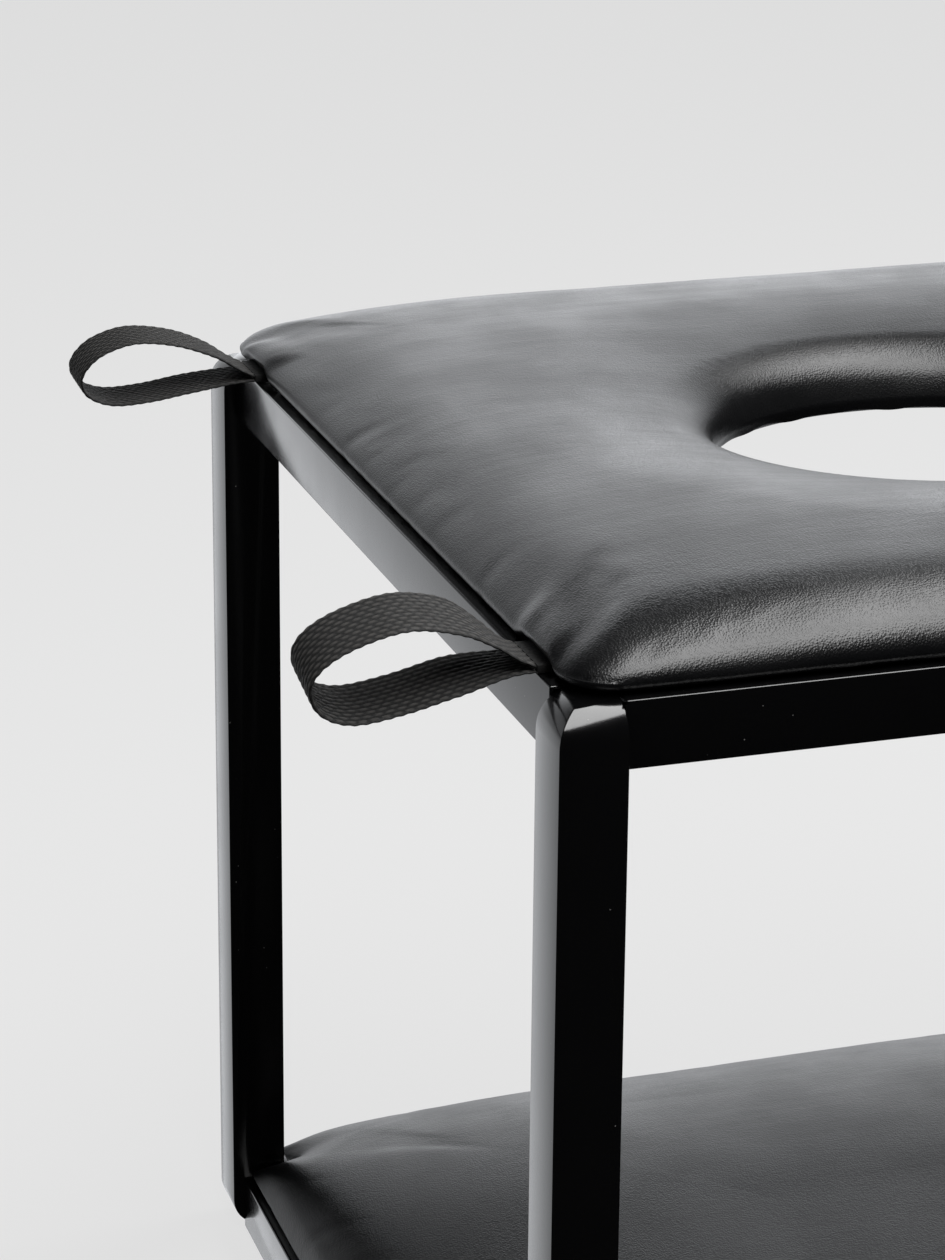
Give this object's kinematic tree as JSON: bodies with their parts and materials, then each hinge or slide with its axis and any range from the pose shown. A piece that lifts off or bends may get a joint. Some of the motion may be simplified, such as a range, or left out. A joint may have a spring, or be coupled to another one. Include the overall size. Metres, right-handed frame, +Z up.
{
  "type": "padded face rest stand",
  "caption": "Low square-tube stand with a padded leather seat that has an oval opening, a second pad low in the frame and webbing loops at the seat's sides.",
  "frame": {"origin": "middle of the stand's footprint, on the floor", "axes": "+Z up, +X to the right (the webbing loops come out along X), the front is towards -Y"},
  "size_m": [0.6538, 0.48, 0.461],
  "materials": {
    "frame_paint": "gloss black paint on square steel tube",
    "black_leather": "fine-grained black faux leather, semi-gloss",
    "webbing": "coarse flat-woven black webbing, matt",
    "foam": "open-cell upholstery foam",
    "plywood": "plain plywood, sanded",
    "zinc_screw": "zinc-plated steel",
    "felt_foot": "dense dark grey felt",
    "liner_cloth": "thin black non-woven cloth"
  },
  "bodies": {
    "stand": {"lower_rail_front": "frame_paint", "lower_rail_rear": "frame_paint", "lower_rail_left": "frame_paint", "lower_rail_right": "frame_paint", "upper_rail_front": "frame_paint", "upper_rail_rear": "frame_paint", "upper_rail_left": "frame_paint", "upper_rail_right": "frame_paint", "leg_front_left": "frame_paint", "foot_front_left": "felt_foot", "lower_tab_front_left": "frame_paint", "lower_screw_front_left": "zinc_screw", "upper_tab_front_left": "frame_paint", "upper_screw_front_left": "zinc_screw", "strap_tail_front_left": "webbing", "strap_screw_front_left": "zinc_screw", "leg_front_right": "frame_paint", "foot_front_right": "felt_foot", "lower_tab_front_right": "frame_paint", "lower_screw_front_right": "zinc_screw", "upper_tab_front_right": "frame_paint", "upper_screw_front_right": "zinc_screw", "strap_tail_front_right": "webbing", "strap_screw_front_right": "zinc_screw", "leg_rear_left": "frame_paint", "foot_rear_left": "felt_foot", "lower_tab_rear_left": "frame_paint", "lower_screw_rear_left": "zinc_screw", "upper_tab_rear_left": "frame_paint", "upper_screw_rear_left": "zinc_screw", "strap_tail_rear_left": "webbing", "strap_screw_rear_left": "zinc_screw", "leg_rear_right": "frame_paint", "foot_rear_right": "felt_foot", "lower_tab_rear_right": "frame_paint", "lower_screw_rear_right": "zinc_screw", "upper_tab_rear_right": "frame_paint", "upper_screw_rear_right": "zinc_screw", "strap_tail_rear_right": "webbing", "strap_screw_rear_right": "zinc_screw", "seat_board": "plywood", "seat_foam": "foam", "seat_cover": "black_leather", "lower_board": "plywood", "lower_foam": "foam", "lower_cover": "black_leather", "seat_liner": "liner_cloth", "lower_liner": "liner_cloth"},
    "loop_front_left": {"strap_loop_front_left": "webbing"},
    "loop_front_right": {"strap_loop_front_right": "webbing"},
    "loop_rear_left": {"strap_loop_rear_left": "webbing"},
    "loop_rear_right": {"strap_loop_rear_right": "webbing"}
  },
  "joints": [
    {"name": "bend_front_left", "type": "hinge", "parent": "stand", "child": "loop_front_left", "pos_m": [-0.247, -0.19, 0.4348], "axis": [0, 1, 0], "range_deg": [-58, 60], "stiffness_Nm_per_rad": 0.15},
    {"name": "bend_front_right", "type": "hinge", "parent": "stand", "child": "loop_front_right", "pos_m": [0.247, -0.19, 0.4348], "axis": [0, -1, 0], "range_deg": [-58, 60], "stiffness_Nm_per_rad": 0.15},
    {"name": "bend_rear_left", "type": "hinge", "parent": "stand", "child": "loop_rear_left", "pos_m": [-0.247, 0.19, 0.4348], "axis": [0, 1, 0], "range_deg": [-58, 60], "stiffness_Nm_per_rad": 0.15},
    {"name": "bend_rear_right", "type": "hinge", "parent": "stand", "child": "loop_rear_right", "pos_m": [0.247, 0.19, 0.4348], "axis": [0, -1, 0], "range_deg": [-58, 60], "stiffness_Nm_per_rad": 0.15}
  ]
}
